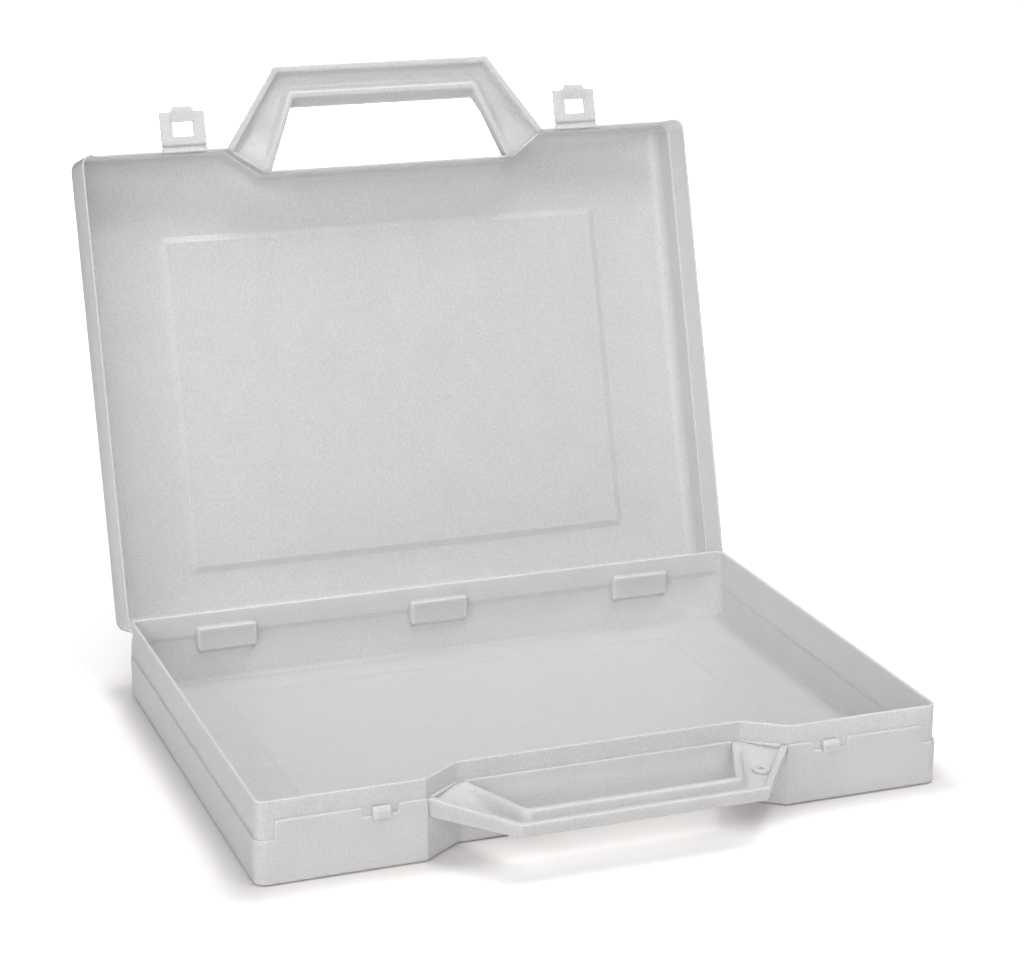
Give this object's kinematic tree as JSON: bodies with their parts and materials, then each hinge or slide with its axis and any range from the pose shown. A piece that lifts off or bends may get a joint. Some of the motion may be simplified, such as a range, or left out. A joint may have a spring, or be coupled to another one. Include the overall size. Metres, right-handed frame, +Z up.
{
  "type": "carrying case",
  "caption": "Frosted plastic carrying case, open: shallow tray and hinged lid, each with half of the carry handle, closed by snap latches.",
  "frame": {"origin": "centre of the base tray's flat underside", "axes": "+X to the right seen from the handle, +Y from the handle to the hinge, +Z up"},
  "size_m": [0.34, 0.3946, 0.3112],
  "materials": {
    "frosted_polypropylene": "satin, translucent, colourless"
  },
  "bodies": {
    "base": {"base_tray": "frosted_polypropylene", "base_handle_half": "frosted_polypropylene", "catch_left": "frosted_polypropylene", "catch_right": "frosted_polypropylene", "hinge_pin_left": "frosted_polypropylene", "hinge_pin_centre": "frosted_polypropylene", "hinge_pin_right": "frosted_polypropylene"},
    "lid": {"lid_shell": "frosted_polypropylene", "lid_handle_half": "frosted_polypropylene", "hinge_hook_left": "frosted_polypropylene", "hinge_hook_centre": "frosted_polypropylene", "hinge_hook_right": "frosted_polypropylene", "film_hinge_left": "frosted_polypropylene", "film_hinge_right": "frosted_polypropylene"},
    "left_latch": {"latch_left": "frosted_polypropylene"},
    "right_latch": {"latch_right": "frosted_polypropylene"}
  },
  "joints": [
    {"name": "lid_hinge", "type": "hinge", "parent": "base", "child": "lid", "pos_m": [0, 0.128, 0.0285], "axis": [1, 0, 0], "range_deg": [0, 106]},
    {"name": "latch_left_hinge", "type": "hinge", "parent": "lid", "child": "left_latch", "pos_m": [-0.1115, 0.20724, 0.2722], "axis": [1, 0, 0], "range_deg": [-80, 90], "stiffness_Nm_per_rad": 0.002},
    {"name": "latch_right_hinge", "type": "hinge", "parent": "lid", "child": "right_latch", "pos_m": [0.1115, 0.20724, 0.2722], "axis": [1, 0, 0], "range_deg": [-80, 90], "stiffness_Nm_per_rad": 0.002}
  ]
}
